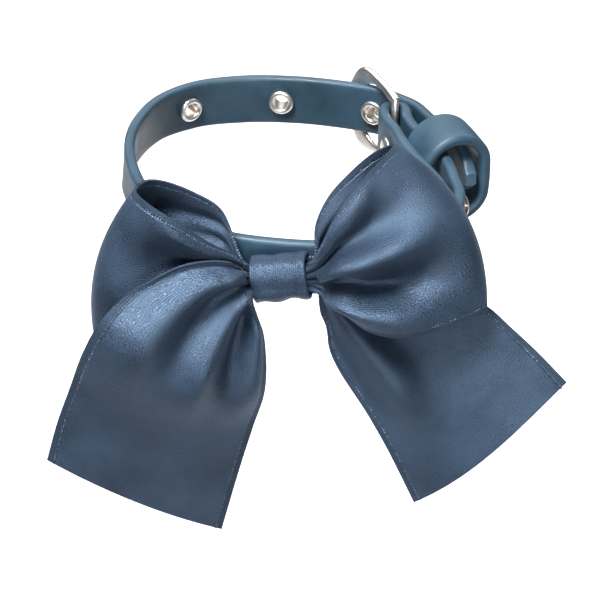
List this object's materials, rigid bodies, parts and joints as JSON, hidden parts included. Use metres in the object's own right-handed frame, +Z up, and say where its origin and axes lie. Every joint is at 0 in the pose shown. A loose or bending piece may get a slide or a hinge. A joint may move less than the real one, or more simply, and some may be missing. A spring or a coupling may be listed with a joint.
{
  "type": "dog collar",
  "caption": "Buckled dog collar: a flat coated strap with metal eyelets, a bent buckle and a sliding keeper, and a satin ribbon bow with hanging tails at the front.",
  "frame": {"origin": "middle of the neck opening, at half the strap's height", "axes": "+Z up along the neck, -Y towards the bow, +X towards the keeper"},
  "size_m": [0.1111, 0.1024, 0.0898],
  "materials": {
    "coated_strap": "smooth satin coating",
    "nickel": "polished nickel plate",
    "satin_ribbon": "double face satin ribbon"
  },
  "bodies": {
    "root": {"strap": "coated_strap", "keeper": "coated_strap", "buckle_frame": "nickel", "buckle_tongue": "nickel", "eyelet_1": "nickel", "eyelet_2": "nickel", "eyelet_3": "nickel", "strap_rivet_1": "nickel", "strap_rivet_2": "nickel", "bow_post": "nickel", "bow_knot": "satin_ribbon", "bow_loop_left": "satin_ribbon", "bow_loop_right": "satin_ribbon", "bow_tail_left": "satin_ribbon", "bow_tail_right": "satin_ribbon"}
  },
  "joints": []
}
